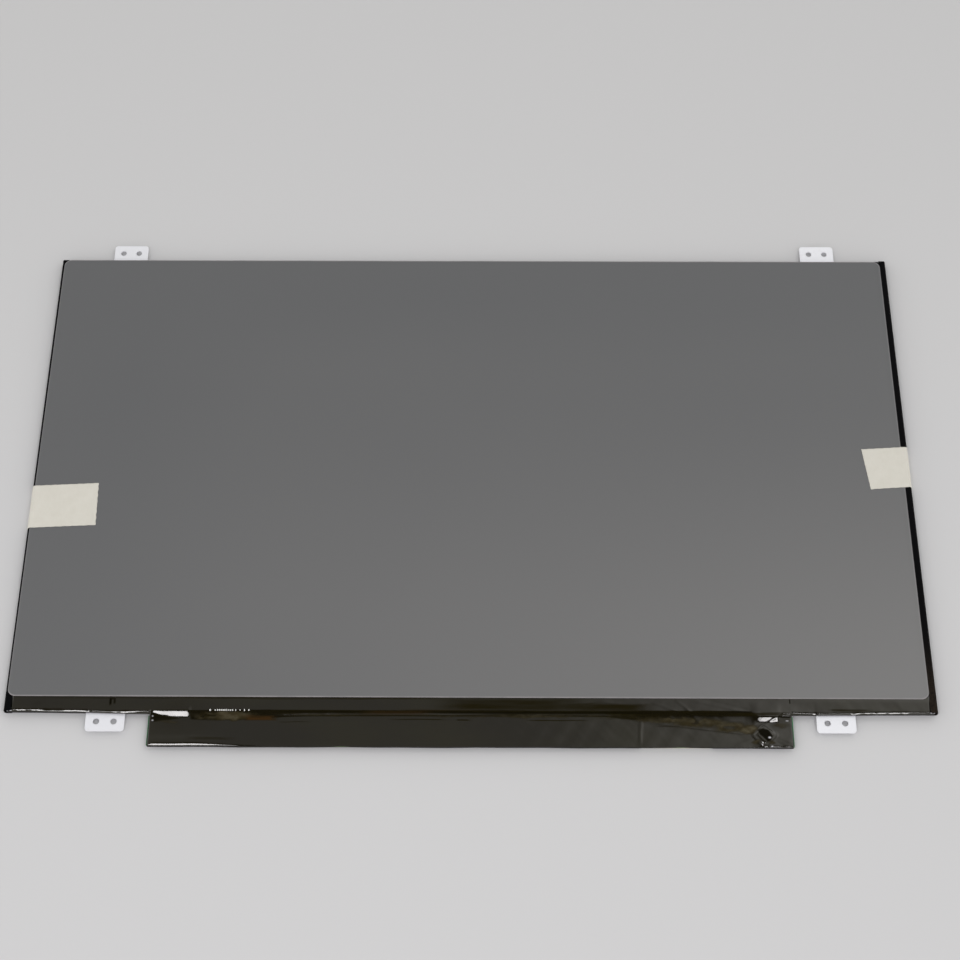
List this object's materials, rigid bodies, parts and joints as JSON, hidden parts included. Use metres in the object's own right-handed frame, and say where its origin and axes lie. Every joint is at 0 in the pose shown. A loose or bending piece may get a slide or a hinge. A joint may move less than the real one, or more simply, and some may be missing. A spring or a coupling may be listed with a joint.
{
  "type": "laptop screen panel",
  "caption": "Slim flat laptop screen module: glass over an edge-lit backlight in a folded metal cover, with screw ears, a taped board along its lower edge and a transport film.",
  "frame": {"origin": "middle of the taped outline, without board and ears, on the plane that the back rests on", "axes": "+X along the screen's long side to the viewer's right, +Y towards the screen's top edge, +Z out of the screen towards the viewer"},
  "size_m": [0.3206, 0.208, 0.0032],
  "materials": {
    "cover_metal": "satin folded sheet",
    "frame_black": "fine moulded texture",
    "reflector_white": "matte foamed film",
    "guide_clear": "clear acrylic",
    "flex_amber": "flexible circuit",
    "emitter_cream": "moulded package",
    "diffuser_white": "frosted film",
    "prism_film": "finely ribbed film",
    "mount_tape_black": "double-sided film tape",
    "polarizer_dark": "anti-glare film",
    "panel_glass": "thin ground-edge glass",
    "transport_film": "hazy film over the dark screen",
    "board_green": "solder mask",
    "chip_black": "moulded package",
    "silicon_dark": "bare die",
    "capacitor_tan": "fired ceramic",
    "resistor_black": "glazed",
    "ferrite_grey": "pressed ferrite",
    "connector_ivory": "moulded",
    "connector_steel": "stamped and plated",
    "contact_gold": "gold-flashed",
    "cover_tape_black": "glossy film tape, slightly wrinkled",
    "edge_tape_black": "matte film tape",
    "masking_paper": "creped paper tape"
  },
  "bodies": {
    "root": {"rear_cover": "cover_metal", "mold_frame": "frame_black", "reflector_sheet": "reflector_white", "light_guide_plate": "guide_clear", "led_flex": "flex_amber", "led_packages": "emitter_cream", "lower_diffuser": "diffuser_white", "lower_prism_sheet": "prism_film", "upper_prism_sheet": "prism_film", "upper_diffuser": "diffuser_white", "rim_tape": "mount_tape_black", "lower_polarizer": "polarizer_dark", "tft_glass": "panel_glass", "color_filter_glass": "panel_glass", "upper_polarizer": "polarizer_dark", "driver_films": "flex_amber", "driver_chips": "silicon_dark", "control_board": "board_green", "timing_controller": "chip_black", "power_chip": "chip_black", "backlight_driver_chip": "chip_black", "memory_chip": "chip_black", "ceramic_capacitors": "capacitor_tan", "chip_resistors": "resistor_black", "power_inductor": "ferrite_grey", "connector_housing": "connector_ivory", "connector_shell": "connector_steel", "connector_contacts": "contact_gold", "front_cover_tape": "cover_tape_black", "left_edge_tape": "edge_tape_black", "right_edge_tape": "edge_tape_black", "top_edge_tape": "edge_tape_black", "protective_film": "transport_film", "left_masking_tape": "masking_paper", "right_masking_tape": "masking_paper"}
  },
  "joints": []
}
